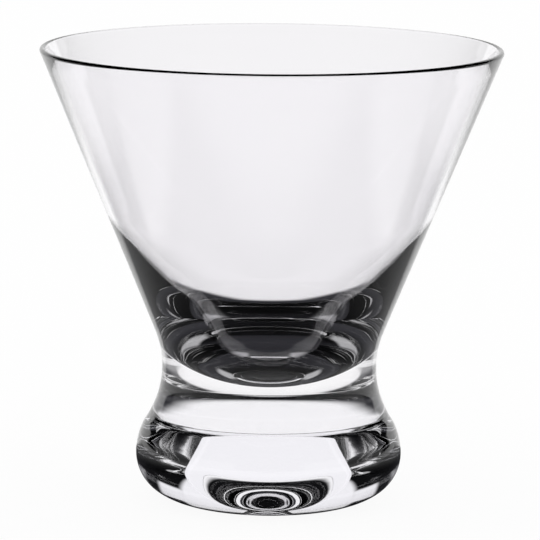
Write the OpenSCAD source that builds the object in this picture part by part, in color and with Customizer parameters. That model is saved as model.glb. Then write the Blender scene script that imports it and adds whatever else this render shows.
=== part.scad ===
// Short cocktail glass with a straight conical bowl, a drawn-in waist and a heavy round foot.
// The bowl and the foot are two pieces of clear glass, fused hot at a level seam below the waist.
// Millimetres, +Z up, the origin at the middle of the underside.

/* [Bowl] */
// Diameter over the lip
rim_d = 106; // [96:1:118]
// Height from the table to the top of the lip
glass_h = 105; // [98:1:118]
// Thickness of the blown wall, square to its face
wall = 1.3; // [0.8:0.1:2]
// Height at which the inside leaves the wall's slope and the glass thickens
knee_z = 58.5; // [52:0.1:64]
// Radius of the bend in the inside at that height
knee_r = 76; // [30:0.5:100]
// Height of the lowest point of the hollow
floor_z = 27.7; // [24.5:0.1:30]
// Radius of the round bottom of the hollow
bottom_r = 19.5; // [16:0.1:23]

/* [Waist] */
// How far the waist is drawn in from the foot's widest place, on each side
waist_in = 5.9; // [4.5:0.1:8]
// Height of the narrowest place
waist_z = 31.2; // [29:0.2:34]
// Height of the fused seam between the foot and the bowl
seam_z = 20.6; // [19:0.2:23]

/* [Foot] */
// Diameter of the foot at its widest
foot_d = 61.3; // [57:0.1:66]
// Height of the widest place
belly_z = 11; // [10:0.1:12.5]
// Radius of the shoulder above the widest place
shoulder_r = 15; // [12:0.2:17]
// Radius of the full curve that rises from the table
toe_r = 15.3; // [12:0.1:20]
// Height at which it passes into the tighter curve below the widest place
toe_z = 2.6; // [1.4:0.1:5]

/* [Hollow in the underside] */
// Width of the flat ring round it, on which the glass stands
ring_w = 1.9; // [1:0.1:4]
// Depth of the hollow
punt_h = 8; // [7:0.1:11]
// Radius of the round corner between its flat top and its side
punt_r = 5.8; // [3:0.1:6.4]
// Radius of the edge between its side and the ring
mouth_r = 0.6; // [0.3:0.1:0.9]

/* [Hidden] */
$fn = 128;
// How far cutting shapes run past what they cut
over = 5;
// Hair by which a round overlaps the faces that it touches
lap = 0.002;

// The lip is a half round as thick as the wall
lip_r = wall / 2;
lip_c = [rim_d / 2 - lip_r, glass_h - lip_r];

// Below the widest place, two arcs that touch run down to the table and lie flat on it
toe_a = acos(1 - toe_z / toe_r);
heel_r = toe_r - (toe_r - belly_z) / cos(toe_a);
heel_c = [foot_d / 2 - heel_r, belly_z];
toe_c = [heel_c.x - (toe_r - heel_r) * sin(toe_a), toe_r];
heel_low = [toe_c.x + toe_r * sin(toe_a), toe_z];

// The waist is an arc that touches the shoulder's arc
rise = waist_z - belly_z;
neck_r = (waist_in * waist_in + rise * rise) / (2 * waist_in) - shoulder_r;
neck_c = [foot_d / 2 - waist_in + neck_r, waist_z];
shoulder_c = [foot_d / 2 - shoulder_r, belly_z];
neck_low = shoulder_c + shoulder_r * (neck_c - shoulder_c) / norm(neck_c - shoulder_c);

// The cone's wall runs straight from the lip's round to the waist's arc and touches both
span = lip_c - neck_c;
slope = atan2(span.x, span.y) + asin((neck_r + lip_r) / norm(span));
out_n = [cos(slope), -sin(slope)];
up_wall = [sin(slope), cos(slope)];
lip_out = lip_c + lip_r * out_n;
lip_in = lip_c - lip_r * out_n;
neck_top = neck_c - neck_r * out_n;

// Inside, a flatter cone runs from the knee to the round bottom and touches it
knee = lip_in - up_wall * (lip_in.y - knee_z) / cos(slope);
bottom_c = [0, floor_z + bottom_r];
to_knee = knee - bottom_c;
low_slope = acos(bottom_r / norm(to_knee)) - atan2(to_knee.y, to_knee.x);
low_n = [cos(low_slope), -sin(low_slope)];
up_low = [sin(low_slope), cos(low_slope)];
bottom_touch = bottom_c + bottom_r * low_n;
knee_run = knee_r * tan((low_slope - slope) / 2);
knee_top = knee + knee_run * up_wall;
knee_end = knee - knee_run * up_low;
knee_c = knee_top - knee_r * out_n;

// The hollow in the underside leaves the ring's width standing
mouth_c = [toe_c.x - ring_w, mouth_r];
side_x = mouth_c.x - mouth_r;
corner_c = [side_x - punt_r, punt_h - punt_r];

// Half outline of the whole outside, from the table to the lip
module outside() {
    difference() {
        union() {
            polygon([[0, 0], [toe_c.x, 0], heel_low, [foot_d / 2, belly_z], neck_low,
                     neck_top, lip_out, lip_in, [0, lip_in.y]]);
            intersection() {
                translate(toe_c) circle(toe_r + lap);
                square(heel_low);
            }
            intersection() {
                translate(heel_c) circle(heel_r + lap);
                translate([0, toe_z / 2]) square([foot_d, belly_z - toe_z / 2]);
            }
            intersection() {
                translate(shoulder_c) circle(shoulder_r + lap);
                translate([0, belly_z]) square([foot_d, shoulder_r + over]);
            }
            translate(lip_c) circle(lip_r + lap);
        }
        translate(neck_c) circle(neck_r + lap);
    }
}

// Half outline of the hollow that holds the drink
module hollow() {
    open_top = lip_in + over * up_wall;
    polygon([bottom_c, bottom_touch, knee_end, knee_top, open_top, [0, open_top.y]]);
    intersection() {
        translate(bottom_c) circle(bottom_r + lap);
        translate([0, floor_z - over]) square([bottom_r + over, bottom_r + over]);
    }
    intersection() {
        translate(knee_c) circle(knee_r + lap);
        polygon([knee_top + up_wall - out_n, knee_top + up_wall + out_n,
                 knee_end - up_low + low_n, knee_end - up_low - low_n]);
    }
}

// Half outline of the hollow pushed up into the underside
module punt() {
    translate([0, -over]) square([corner_c.x, punt_h + over]);
    translate([0, -over]) square([side_x, corner_c.y + over]);
    translate(corner_c) circle(punt_r + lap);
    difference() {
        translate([0, -over]) square([mouth_c.x, mouth_r + over]);
        translate(mouth_c) circle(mouth_r + lap);
    }
}

// Blown bowl, with the thick bottom that it sits on the foot with
module bowl() {
    color("ghostwhite", 0.4)
    rotate_extrude()
    difference() {
        intersection() {
            outside();
            translate([0, seam_z]) square([rim_d, glass_h]);
        }
        hollow();
    }
}

// Pressed foot, solid above the hollow in its underside
module foot() {
    color("lavender", 0.5)
    rotate_extrude()
    difference() {
        intersection() {
            outside();
            square([rim_d, seam_z]);
        }
        punt();
    }
}

bowl();
foot();
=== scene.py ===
"""Short stemless cocktail glass: a blown conical bowl, hot-fused to a heavy pressed foot."""

import math
from functools import reduce
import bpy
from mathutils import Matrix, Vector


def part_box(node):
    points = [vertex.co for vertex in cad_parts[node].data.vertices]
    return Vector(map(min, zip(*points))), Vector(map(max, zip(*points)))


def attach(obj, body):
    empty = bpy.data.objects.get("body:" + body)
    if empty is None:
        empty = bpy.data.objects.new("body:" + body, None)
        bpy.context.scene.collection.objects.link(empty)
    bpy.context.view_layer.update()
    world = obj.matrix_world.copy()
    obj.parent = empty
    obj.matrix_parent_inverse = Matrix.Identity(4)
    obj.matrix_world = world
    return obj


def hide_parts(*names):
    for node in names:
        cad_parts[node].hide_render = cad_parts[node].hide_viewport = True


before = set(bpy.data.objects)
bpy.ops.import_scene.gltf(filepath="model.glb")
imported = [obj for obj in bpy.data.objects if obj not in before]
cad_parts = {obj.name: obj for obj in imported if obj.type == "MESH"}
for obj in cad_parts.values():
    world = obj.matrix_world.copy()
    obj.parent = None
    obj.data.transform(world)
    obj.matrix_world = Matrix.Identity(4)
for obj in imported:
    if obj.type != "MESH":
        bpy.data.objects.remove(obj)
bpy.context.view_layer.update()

from types import SimpleNamespace

import bpy
import numpy as np
from mathutils import Matrix

bl_info = {
    "name": "Stemless cocktail glass",
    "version": (1, 0, 0),
    "blender": (4, 5, 0),
    "location": "View3D > Sidebar > Glass",
    "description": "Builds the bowl, the foot and a white studio round the packed part",
    "category": "Object",
}

MM = 0.001

# Steps round the axis
AROUND = 288
# Points along each run of the two half profiles
COUNT = SimpleNamespace(
    seam=12,
    melt=7,
    neck=40,
    wall=20,
    lip=25,
    knee=32,
    bottom=48,
    punt_top=6,
    punt_corner=28,
    mouth=12,
    ring=6,
    toe=20,
    heel=28,
    shoulder=28,
    neck_low=10,
)
# Faces that meet at more than this angle meet at an edge, and are not shaded as one round
EDGE_ANGLE = math.radians(12)

# Refractive index of soda-lime glass
GLASS_IOR = 1.52
# Length and thickness of the cords, the streaks in the glass, and how they rise to the right
CORD_LONG = 14 * MM
CORD_THICK = 1 * MM
CORD_RISE = math.radians(12)
# How much of its colour the glass keeps between cords, and how they stand out from its surface
CORD_SHADE = 0.99
CORD_BUMP = 0.05
CORD_HEIGHT = 0.02 * MM
SEAM_GLASS = "Fused glass, melted into one"

WHITE = (1, 1, 1, 1)
# Half the table's width, in metres
TABLE_HALF = 4.0
# How far the camera sees the table lifted towards white
TABLE_LIFT = 0.93
# Painted light and shade on the table as glass shows them: a painted shadow round the foot, painted light
# behind it and farther off, and a painted pool of light by the ring. Pairs are the distances from the axis
# between which one passes into the other: x to both sides, y towards the back and r all round. The pair
# soft is how soft the line of the painted light from behind is, near the axis and at the sides.
PAINTED_LIGHT_AND_SHADE = SimpleNamespace(
    line_y=48 * MM,
    soft_x=(50 * MM, 160 * MM),
    soft=(5 * MM, 45 * MM),
    side_x=(85 * MM, 115 * MM),
    side_y=(0, 32 * MM),
    far_x=(130 * MM, 170 * MM),
    front_y=(-115 * MM, -65 * MM),
    away_y=(-350 * MM, -260 * MM),
    away_light=0.3,
    around_light=0.9,
    ring_inner_r=(15 * MM, 18 * MM),
    ring_outer_r=(23 * MM, 27 * MM),
    ring_x=(10 * MM, 14 * MM),
    ring_y=(2 * MM, 7 * MM),
    ring_light=0.45,
    halo_r=(55 * MM, 120 * MM),
    halo_light=0.35,
)
# How light the wall at the sides of the room is
WALL_LIGHT = 0.45

# Where the camera stands, in metres, and how far it looks down and leans over, in radians
CAMERA_AT = (0, -0.9636, 0.2122)
CAMERA_DIP = 0.1632
CAMERA_LEAN = 0.0088
# Its lens and the width of its sensor, in millimetres
CAMERA_LENS = 282.9
CAMERA_SENSOR = 36
# Light that stays caught in the glass for more bounces than this is left dark
GLASS_BOUNCES = 6
# Light may pass this many faces that let it straight through
CLEAR_BOUNCES = 16


def linear(code):
    """Turns an sRGB hex colour into linear red, green and blue."""
    srgb = np.array([int(code[i : i + 2], 16) for i in (0, 2, 4)]) / 255
    return tuple(np.where(srgb <= 0.04045, srgb / 12.92, ((srgb + 0.055) / 1.055) ** 2.4).tolist())


def length(name, description, metres):
    """A length that the user can change, in metres."""
    return bpy.props.FloatProperty(
        name=name, description=description, default=metres, min=0, precision=5, unit="LENGTH"
    )


def tint(name, description, code):
    """A colour that the user can change, given as an sRGB hex value."""
    return bpy.props.FloatVectorProperty(
        name=name, description=description, default=linear(code), min=0, max=1, subtype="COLOR"
    )


class GlassSizes(bpy.types.PropertyGroup):
    """Real sizes of the glass."""

    rim_d: length("Lip", "Diameter over the lip", 106 * MM)
    glass_h: length("Height", "Height from the table to the top of the lip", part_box("bowl")[1][2])
    wall: length("Wall", "Thickness of the blown wall", 1.3 * MM)
    knee_z: length("Knee height", "Height at which the inside leaves the wall's slope", 58.5 * MM)
    knee_r: length("Knee radius", "Radius of the bend in the inside there", 76 * MM)
    floor_z: length("Floor", "Height of the lowest point of the hollow", 27.7 * MM)
    bottom_r: length("Bottom radius", "Radius of the round bottom of the hollow", 19.5 * MM)
    waist_in: length("Waist", "How far the waist is drawn in from the foot, on each side", 5.9 * MM)
    waist_z: length("Waist height", "Height of the narrowest place", 31.2 * MM)
    seam_z: length("Seam height", "Height of the fused seam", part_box("foot")[1][2])
    seam_r: length("Seam edge", "Radius to which the edges at the seam melted round", 0.15 * MM)
    foot_d: length("Foot", "Diameter of the foot at its widest", 61.3 * MM)
    belly_z: length("Belly height", "Height of the widest place", 11 * MM)
    shoulder_r: length("Shoulder", "Radius of the shoulder above the widest place", 15 * MM)
    toe_r: length("Toe", "Radius of the full curve that rises from the table", 15.3 * MM)
    toe_z: length("Toe height", "Height at which it passes into the tighter curve above", 2.6 * MM)
    ring_w: length("Ring", "Width of the flat ring on which the glass stands", 1.9 * MM)
    punt_h: length("Punt depth", "Depth of the hollow in the underside", 8 * MM)
    punt_r: length("Punt corner", "Radius of the round corner between its flat top and side", 5.8 * MM)
    mouth_r: length("Punt edge", "Radius of the edge between its side and the ring", 0.6 * MM)


class GlassLooks(bpy.types.PropertyGroup):
    """Colours of the glass and of the studio."""

    blown: tint("Blown glass", "Colour that one pass through the bowl's wall leaves", "FEFDFF")
    pressed: tint("Pressed glass", "Colour that one pass through the foot leaves", "FBFAFF")
    table: tint("Table", "Colour of the white table", "F6F6F6")
    # The shaded table is a painted shadow: the dark colour glass shows on the table round the foot
    shade: tint("Shaded table", "Colour in which glass shows the table round its foot", "404044")
    dark: tint("Dark room", "Colour of the room round the white backdrop", "0A0A0B")


def arc(centre, radius, start, end, count):
    """Points on a circle round centre, from one angle to another, counted from +r towards +z."""
    turn = np.linspace(start, end, count)
    return np.stack([centre[0] + radius * np.cos(turn), centre[1] + radius * np.sin(turn)], axis=1)


def angle(vector):
    """Angle of a direction in the half plane, counted from +r towards +z."""
    return math.atan2(vector[1], vector[0])


def rounded(start, corner, end, count):
    """A corner melted round: the curve from start to end whose two ends point at the corner."""
    t = np.linspace(0, 1, count)[:, None]
    return (1 - t) ** 2 * start + 2 * t * (1 - t) * corner + t**2 * end


def joined(*runs):
    """One profile from runs that follow on from each other, with each shared point kept once."""
    return np.concatenate([runs[0]] + [run[1:] for run in runs[1:]])


def outline(s):
    """Centres, radii and touching points of the half outline, as (r, z), worked out from the sizes.

    The waist's arc touches the shoulder's. The wall is a straight line that touches the waist's arc and
    the lip's half round. Inside, a second line touches the round bottom and meets the wall's line in an
    arc, the knee. Below the foot's widest place, two arcs that touch run down to the table and lie flat
    on it.
    """
    o = SimpleNamespace()
    o.lip_r = s.wall / 2
    o.lip_c = np.array([s.rim_d / 2 - o.lip_r, s.glass_h - o.lip_r])
    o.toe_a = math.acos(1 - s.toe_z / s.toe_r)
    o.heel_r = s.toe_r - (s.toe_r - s.belly_z) / math.cos(o.toe_a)
    o.heel_c = np.array([s.foot_d / 2 - o.heel_r, s.belly_z])
    o.toe_c = np.array([o.heel_c[0] - (s.toe_r - o.heel_r) * math.sin(o.toe_a), s.toe_r])
    rise = s.waist_z - s.belly_z
    o.neck_r = (s.waist_in**2 + rise**2) / (2 * s.waist_in) - s.shoulder_r
    o.neck_c = np.array([s.foot_d / 2 - s.waist_in + o.neck_r, s.waist_z])
    o.shoulder_c = np.array([s.foot_d / 2 - s.shoulder_r, s.belly_z])
    span = o.lip_c - o.neck_c
    o.slope = math.atan2(span[0], span[1]) + math.asin((o.neck_r + o.lip_r) / np.hypot(*span))
    o.out_n = np.array([math.cos(o.slope), -math.sin(o.slope)])
    up_wall = np.array([math.sin(o.slope), math.cos(o.slope)])
    o.lip_in = o.lip_c - o.lip_r * o.out_n
    knee = o.lip_in - up_wall * (o.lip_in[1] - s.knee_z) / math.cos(o.slope)
    o.bottom_c = np.array([0, s.floor_z + s.bottom_r])
    to_knee = knee - o.bottom_c
    o.low_slope = math.acos(s.bottom_r / np.hypot(*to_knee)) - angle(to_knee)
    knee_run = s.knee_r * math.tan((o.low_slope - o.slope) / 2)
    o.knee_c = knee + knee_run * up_wall - s.knee_r * o.out_n
    o.mouth_c = np.array([o.toe_c[0] - s.ring_w, s.mouth_r])
    o.corner_c = np.array([o.mouth_c[0] - s.mouth_r - s.punt_r, s.punt_h - s.punt_r])
    return o


def seam_point(o, s, z):
    """The point of the waist's arc at height z."""
    return np.array([o.neck_c[0] - math.sqrt(o.neck_r**2 - (z - s.waist_z) ** 2), z])


def bowl_profile(s):
    """The bowl's closed half profile: along the seam, up the outside, over the lip and down the inside.

    Returns the points and how many of its first steps lie on the seam.
    """
    o = outline(s)
    corner = seam_point(o, s, s.seam_z)
    start = seam_point(o, s, s.seam_z + s.seam_r)
    flat = np.linspace([0, s.seam_z], corner - [s.seam_r, 0], COUNT.seam)
    wall_low = o.neck_c - o.neck_r * o.out_n
    wall_high = o.lip_c + o.lip_r * o.out_n
    knee = arc(o.knee_c, s.knee_r, -o.slope, -o.low_slope, COUNT.knee)
    points = joined(
        flat,
        rounded(flat[-1], corner, start, COUNT.melt),
        arc(o.neck_c, o.neck_r, angle(start - o.neck_c) % math.tau, math.pi - o.slope, COUNT.neck),
        np.linspace(wall_low, wall_high, COUNT.wall),
        arc(o.lip_c, o.lip_r, -o.slope, math.pi - o.slope, COUNT.lip),
        np.concatenate([o.lip_in[None], knee]),
        arc(o.bottom_c, s.bottom_r, -o.low_slope, -math.pi / 2, COUNT.bottom),
    )
    points[-1, 0] = 0
    return points, len(flat) - 1


def foot_profile(s):
    """The foot's closed half profile: the hollow underneath, the ring, up the outside and along the seam.

    Returns the points and how many of its last steps lie on the seam.
    """
    o = outline(s)
    corner = seam_point(o, s, s.seam_z)
    end = seam_point(o, s, s.seam_z - s.seam_r)
    flat = np.linspace(corner - [s.seam_r, 0], [0, s.seam_z], COUNT.seam)
    lean = angle(o.neck_c - o.shoulder_c)
    dip = o.toe_a - math.pi / 2
    mouth = arc(o.mouth_c, s.mouth_r, math.pi, 1.5 * math.pi, COUNT.mouth)
    points = joined(
        np.linspace([0, s.punt_h], [o.corner_c[0], s.punt_h], COUNT.punt_top),
        arc(o.corner_c, s.punt_r, math.pi / 2, 0, COUNT.punt_corner),
        np.concatenate([o.corner_c + [[s.punt_r, 0]], mouth]),
        np.linspace([o.mouth_c[0], 0], [o.toe_c[0], 0], COUNT.ring),
        arc(o.toe_c, s.toe_r, -math.pi / 2, dip, COUNT.toe),
        arc(o.heel_c, o.heel_r, dip, 0, COUNT.heel),
        arc(o.shoulder_c, s.shoulder_r, 0, lean, COUNT.shoulder),
        arc(o.neck_c, o.neck_r, lean + math.pi, angle(end - o.neck_c) % math.tau, COUNT.neck_low),
        rounded(end, corner, flat[0], COUNT.melt),
        flat,
    )
    points[0, 0] = 0
    return points, len(flat) - 1


def revolved(name, profile, seam_steps):
    """A closed mesh from a half profile whose two ends lie on the axis.

    Each point between the ends becomes a ring, (r cos a, r sin a, z) for AROUND even steps of a, and each
    end one point. Steps of the profile named in seam_steps take the second material.
    """
    turn = np.linspace(0, math.tau, AROUND, endpoint=False)
    inner = profile[1:-1]
    rings = np.stack([
        inner[:, :1] * np.cos(turn),
        inner[:, :1] * np.sin(turn),
        np.repeat(inner[:, 1:], AROUND, axis=1),
    ], axis=2)
    ends = np.array([[0, 0, profile[0, 1]], [0, 0, profile[-1, 1]]])
    points = np.concatenate([rings.reshape(-1, 3), ends])
    here = np.arange(AROUND)
    after = (here + 1) % AROUND
    base = (np.arange(len(inner) - 1) * AROUND)[:, None]
    quads = np.stack([base + here, base + after, base + AROUND + after, base + AROUND + here], axis=2)
    first = np.stack([np.full(AROUND, len(points) - 2), after, here], axis=1)
    top = (len(inner) - 1) * AROUND
    last = np.stack([top + here, top + after, np.full(AROUND, len(points) - 1)], axis=1)
    faces = first.tolist() + quads.reshape(-1, 4).tolist() + last.tolist()
    mesh = bpy.data.meshes.new(name)
    mesh.from_pydata(points.tolist(), [], faces)
    on_seam = np.zeros(len(profile) - 1, dtype=np.int32)
    on_seam[seam_steps] = 1
    mesh.polygons.foreach_set("material_index", np.repeat(on_seam, AROUND))
    mesh.shade_smooth()
    mesh.set_sharp_from_angle(angle=EDGE_ANGLE)
    if mesh.validate(verbose=True):
        raise RuntimeError(f"{name}: the mesh has faults")
    return mesh


def add(tree, kind, inputs=None, **settings):
    """Adds a node. Settings are its own, and each input takes another node's output or a plain value."""
    made = tree.nodes.new(kind)
    for key, value in settings.items():
        setattr(made, key, value)
    for socket, value in (inputs or {}).items():
        if isinstance(value, bpy.types.NodeSocket):
            tree.links.new(value, made.inputs[socket])
        else:
            made.inputs[socket].default_value = value
    return made


def mixed(tree, share, first, second):
    """A colour between two, which is the first where share is 0 and the second where it is 1."""
    # The node has inputs of one name for each kind of data, so those for colours go by number
    inputs = {"Factor": share, 6: first, 7: second}
    return add(tree, "ShaderNodeMix", inputs, data_type="RGBA").outputs[2]


def new_material(name):
    """An empty node material and its tree."""
    material = bpy.data.materials.new(name)
    material.use_nodes = True
    material.node_tree.nodes.clear()
    return material, material.node_tree


def clear_glass(name, colour):
    """Soda-lime glass, blown or pressed and fire-polished: mirror-smooth, with faint cords.

    To the eye it is bright where white shows through it and black where it bends towards the dark room.
    """
    material, tree = new_material(name)
    place = add(tree, "ShaderNodeTexCoord")
    cord = add(tree, "ShaderNodeMapping", {
        "Vector": place.outputs["Object"],
        "Rotation": (0, CORD_RISE, 0),
        "Scale": (1 / CORD_LONG, 1 / CORD_LONG, 1 / CORD_THICK),
    })
    noise = {"Vector": cord.outputs["Vector"], "Scale": 1, "Detail": 2}
    streak = add(tree, "ShaderNodeTexNoise", noise).outputs["Fac"]
    between_cords = [CORD_SHADE * part for part in colour]
    bump = add(tree, "ShaderNodeBump", {
        "Strength": CORD_BUMP,
        "Distance": CORD_HEIGHT,
        "Height": streak,
    })
    glass = add(tree, "ShaderNodeBsdfPrincipled", {
        "Base Color": mixed(tree, streak, (*between_cords, 1), (*colour, 1)),
        "Roughness": 0.0,
        "IOR": GLASS_IOR,
        "Transmission Weight": 1.0,
        "Normal": bump.outputs["Normal"],
    })
    add(tree, "ShaderNodeOutputMaterial", {"Surface": glass.outputs["BSDF"]})
    return material


def fused_seam():
    """Where the two pieces melted into one there is no surface left, so light goes straight on."""
    material, tree = new_material(SEAM_GLASS)
    gone = add(tree, "ShaderNodeBsdfPrincipled", {"Alpha": 0.0})
    add(tree, "ShaderNodeOutputMaterial", {"Surface": gone.outputs["BSDF"]})
    return material


def place_piece(name, mesh, material, node):
    """Puts a finished mesh in the scene in place of its CAD node."""
    mesh.materials.append(material)
    mesh.materials.append(bpy.data.materials.get(SEAM_GLASS) or fused_seam())
    piece = bpy.data.objects.new(name, mesh)
    bpy.context.scene.collection.objects.link(piece)
    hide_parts(node)
    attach(piece, "root")


class GLASS_OT_bowl(bpy.types.Operator):
    """Make the blown bowl"""

    bl_idname = "glass.bowl"
    bl_label = "Bowl"

    def execute(self, context):
        sizes = context.scene.glass_sizes
        profile, seam = bowl_profile(sizes)
        mesh = revolved("blown_bowl", profile, slice(0, seam))
        glass = clear_glass("Soda-lime glass, blown", tuple(context.scene.glass_looks.blown))
        place_piece("blown_bowl", mesh, glass, "bowl")
        return {"FINISHED"}


class GLASS_OT_foot(bpy.types.Operator):
    """Make the pressed foot"""

    bl_idname = "glass.foot"
    bl_label = "Foot"

    def execute(self, context):
        sizes = context.scene.glass_sizes
        profile, seam = foot_profile(sizes)
        mesh = revolved("pressed_foot", profile, slice(-seam, None))
        glass = clear_glass("Soda-lime glass, pressed", tuple(context.scene.glass_looks.pressed))
        place_piece("pressed_foot", mesh, glass, "foot")
        return {"FINISHED"}


def ramp(tree, source, start, end, first=0, last=1):
    """A smooth step of a value, from first at start to last at end."""
    return add(tree, "ShaderNodeMapRange", {
        "Value": source,
        "From Min": start,
        "From Max": end,
        "To Min": first,
        "To Max": last,
    }, interpolation_type="SMOOTHSTEP").outputs["Result"]


def maths(tree, operation, *terms):
    """The result of one operation on up to three values, each an output or a number."""
    return add(tree, "ShaderNodeMath", dict(enumerate(terms)), operation=operation).outputs["Value"]


def folded(tree, operation, *terms):
    """The result of an operation on any number of values, taken in one after the other."""
    return reduce(lambda so_far, term: maths(tree, operation, so_far, term), terms)


def blend(tree, share, first, second):
    """A shader between two, which is the first where share is 0 and the second where it is 1."""
    return add(tree, "ShaderNodeMixShader", {"Fac": share, 1: first, 2: second}).outputs["Shader"]


def seen_by_glass(tree):
    """Two light path outputs: 1 for what glass mirrors or bends, and 1 for what the camera sees."""
    path = add(tree, "ShaderNodeLightPath").outputs
    bent = maths(tree, "MAXIMUM", path["Is Glossy Ray"], path["Is Transmission Ray"])
    return bent, path["Is Camera Ray"]


def painted_table_light(tree, x, y):
    """How light glass shows a place on the table, from 0 in painted shade to 1 in painted light."""
    p = PAINTED_LIGHT_AND_SHADE
    aside = maths(tree, "ABSOLUTE", x)
    across = maths(tree, "MULTIPLY", x, x)
    reach = maths(tree, "SQRT", maths(tree, "MULTIPLY_ADD", y, y, across))
    # Painted light from behind ends on a curved line close to the foot, soft at the sides
    line = maths(tree, "SQRT", maths(tree, "ADD", across, p.line_y**2))
    past = maths(tree, "SUBTRACT", y, line)
    soft = ramp(tree, aside, *p.soft_x, *p.soft)
    behind = ramp(tree, maths(tree, "DIVIDE", past, soft), -1, 1)
    # Painted light lies on the table again farther off, at the sides and in front
    side = maths(tree, "MULTIPLY", ramp(tree, aside, *p.side_x), ramp(tree, y, *p.side_y, 1, 0))
    far = ramp(tree, aside, *p.far_x)
    front = ramp(tree, y, *p.front_y, 1, 0)
    front = maths(tree, "MULTIPLY", front, ramp(tree, y, *p.away_y, p.away_light, 1))
    around = maths(tree, "MULTIPLY", folded(tree, "MAXIMUM", side, far, front), p.around_light)
    # A painted pool of light lies on the table at both sides of the ring on which the foot stands
    ring = folded(
        tree,
        "MULTIPLY",
        ramp(tree, reach, *p.ring_inner_r),
        ramp(tree, reach, *p.ring_outer_r, p.ring_light, 0),
        ramp(tree, across, *[edge**2 for edge in p.ring_x]),
        ramp(tree, y, *p.ring_y),
    )
    # The painted shadow grows lighter outwards
    halo = ramp(tree, reach, *p.halo_r, 0, p.halo_light)
    return folded(tree, "MAXIMUM", behind, around, ring, halo)


def white_table(colour, dark):
    """Matt white table, with painted light and shade where glass shows it.

    Glass shows a painted shadow round the foot, with painted light, white that glows, behind it and
    farther off.
    The camera sees it lifted towards white, with a faint shadow.
    """
    material, tree = new_material("White table, matt, with painted light and shade")
    place = add(tree, "ShaderNodeTexCoord")
    at = add(tree, "ShaderNodeSeparateXYZ", {"Vector": place.outputs["Object"]})
    painted_light = painted_table_light(tree, at.outputs["X"], at.outputs["Y"])
    bent, camera = seen_by_glass(tree)
    matt = add(tree, "ShaderNodeBsdfDiffuse", {"Color": (*colour, 1)}).outputs["BSDF"]
    # For glass, the dark matt colour is a painted shadow and the glowing white is painted light
    shade = add(tree, "ShaderNodeBsdfDiffuse", {"Color": (*dark, 1)}).outputs["BSDF"]
    white = add(tree, "ShaderNodeEmission", {"Color": WHITE, "Strength": 1.0}).outputs["Emission"]
    plain = blend(tree, bent, matt, blend(tree, painted_light, shade, white))
    seen = blend(tree, maths(tree, "MULTIPLY", camera, TABLE_LIFT), plain, white)
    add(tree, "ShaderNodeOutputMaterial", {"Surface": seen})
    material.cycles.emission_sampling = "NONE"
    return material


def studio_world(dark):
    """Soft even light, and the room that glass mirrors and bends.

    The room is dark. It has a white backdrop behind the glass that spreads wider near the table, a thin
    white strip all round where the table ends and a dim wall low at the sides. The camera sees white.
    """
    world = bpy.data.worlds.new("Studio")
    world.use_nodes = True
    tree = world.node_tree
    tree.nodes.clear()
    place = add(tree, "ShaderNodeTexCoord")
    way = add(tree, "ShaderNodeSeparateXYZ", {"Vector": place.outputs["Generated"]}).outputs
    aside = maths(tree, "ABSOLUTE", maths(tree, "ARCTAN2", way["X"], way["Y"]))
    up = maths(tree, "ARCSINE", way["Z"])

    def sheet(width, height, soft_side, soft_top):
        """1 on a sheet behind the glass, width to each side and height above the table, in degrees."""
        side = ramp(tree, aside, math.radians(width - soft_side), math.radians(width + soft_side), 1, 0)
        top = ramp(tree, up, math.radians(height - soft_top), math.radians(height + soft_top), 1, 0)
        return maths(tree, "MULTIPLY", side, top)

    backdrop = sheet(width=31.5, height=27, soft_side=2, soft_top=5)
    spread = sheet(width=46, height=8.4, soft_side=2.5, soft_top=1)
    strip = sheet(width=190, height=0.3, soft_side=1, soft_top=0.6)
    # The wall runs from beside the backdrop almost to the front
    whole = sheet(width=150, height=12, soft_side=5, soft_top=3)
    middle = sheet(width=62, height=20, soft_side=4, soft_top=2)
    wall = maths(tree, "MULTIPLY", maths(tree, "SUBTRACT", whole, middle), WALL_LIGHT)
    white = folded(tree, "MAXIMUM", backdrop, spread, strip, wall)
    bent, _ = seen_by_glass(tree)
    seen = mixed(tree, bent, WHITE, mixed(tree, white, (*dark, 1), WHITE))
    light = add(tree, "ShaderNodeBackground", {"Color": seen, "Strength": 1.0})
    add(tree, "ShaderNodeOutputWorld", {"Surface": light.outputs["Background"]})
    return world


def front_camera():
    """The camera, in front of the glass and a little above it."""
    camera = bpy.data.objects.new("camera", bpy.data.cameras.new("camera"))
    camera.data.sensor_width = CAMERA_SENSOR
    camera.data.lens = CAMERA_LENS
    place = Matrix.Translation(CAMERA_AT)
    tilt = Matrix.Rotation(math.pi / 2 - CAMERA_DIP, 4, "X")
    lean = Matrix.Rotation(CAMERA_LEAN, 4, "Z")
    camera.matrix_world = place @ tilt @ lean
    return camera


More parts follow.
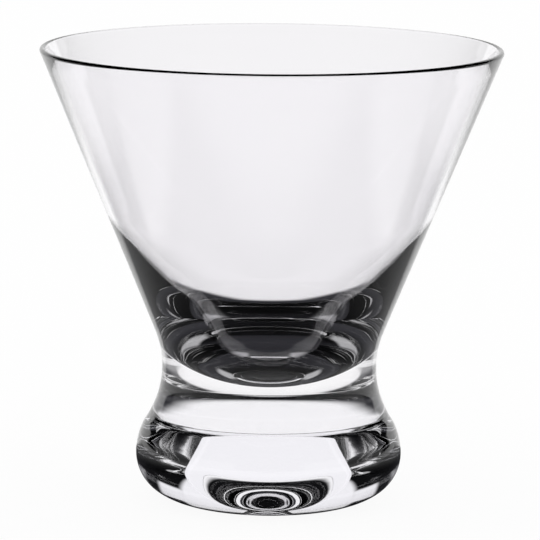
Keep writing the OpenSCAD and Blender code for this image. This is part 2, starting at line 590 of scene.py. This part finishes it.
class GLASS_OT_stage(bpy.types.Operator):
    """Make the white table, the studio light and the camera"""

    bl_idname = "glass.stage"
    bl_label = "Stage"

    def execute(self, context):
        scene = context.scene
        looks = scene.glass_looks
        half = TABLE_HALF
        corners = [(-half, -half, 0), (half, -half, 0), (half, half, 0), (-half, half, 0)]
        mesh = bpy.data.meshes.new("table")
        mesh.from_pydata(corners, [], [(0, 1, 2, 3)])
        mesh.materials.append(white_table(tuple(looks.table), tuple(looks.shade)))
        table = bpy.data.objects.new("table", mesh)
        scene.collection.objects.link(table)
        scene.world = studio_world(tuple(looks.dark))
        camera = front_camera()
        scene.collection.objects.link(camera)
        scene.camera = camera
        scene.view_settings.view_transform = "Standard"
        scene.cycles.max_bounces = GLASS_BOUNCES
        scene.cycles.transmission_bounces = GLASS_BOUNCES
        scene.cycles.glossy_bounces = GLASS_BOUNCES
        scene.cycles.transparent_max_bounces = CLEAR_BOUNCES
        return {"FINISHED"}


class GLASS_PT_panel(bpy.types.Panel):
    """The glass's steps, sizes and colours in the sidebar."""

    bl_label = "Stemless cocktail glass"
    bl_space_type = "VIEW_3D"
    bl_region_type = "UI"
    bl_category = "Glass"

    def draw(self, context):
        layout = self.layout
        for operator in (GLASS_OT_bowl, GLASS_OT_foot, GLASS_OT_stage):
            layout.operator(operator.bl_idname)
        for group in (context.scene.glass_sizes, context.scene.glass_looks):
            box = layout.box()
            for name in group.__annotations__:
                box.prop(group, name)


CLASSES = (GlassSizes, GlassLooks, GLASS_OT_bowl, GLASS_OT_foot, GLASS_OT_stage, GLASS_PT_panel)


def register():
    """Registers the classes and hangs the sizes and colours on the scene."""
    for cls in CLASSES:
        bpy.utils.register_class(cls)
    bpy.types.Scene.glass_sizes = bpy.props.PointerProperty(type=GlassSizes)
    bpy.types.Scene.glass_looks = bpy.props.PointerProperty(type=GlassLooks)


def unregister():
    """Takes back what register did."""
    del bpy.types.Scene.glass_looks
    del bpy.types.Scene.glass_sizes
    for cls in reversed(CLASSES):
        bpy.utils.unregister_class(cls)


def main():
    """Makes the glass and the stage."""
    register()
    bpy.ops.glass.stage()
    bpy.ops.glass.bowl()
    bpy.ops.glass.foot()


if __name__ == "__main__":
    main()
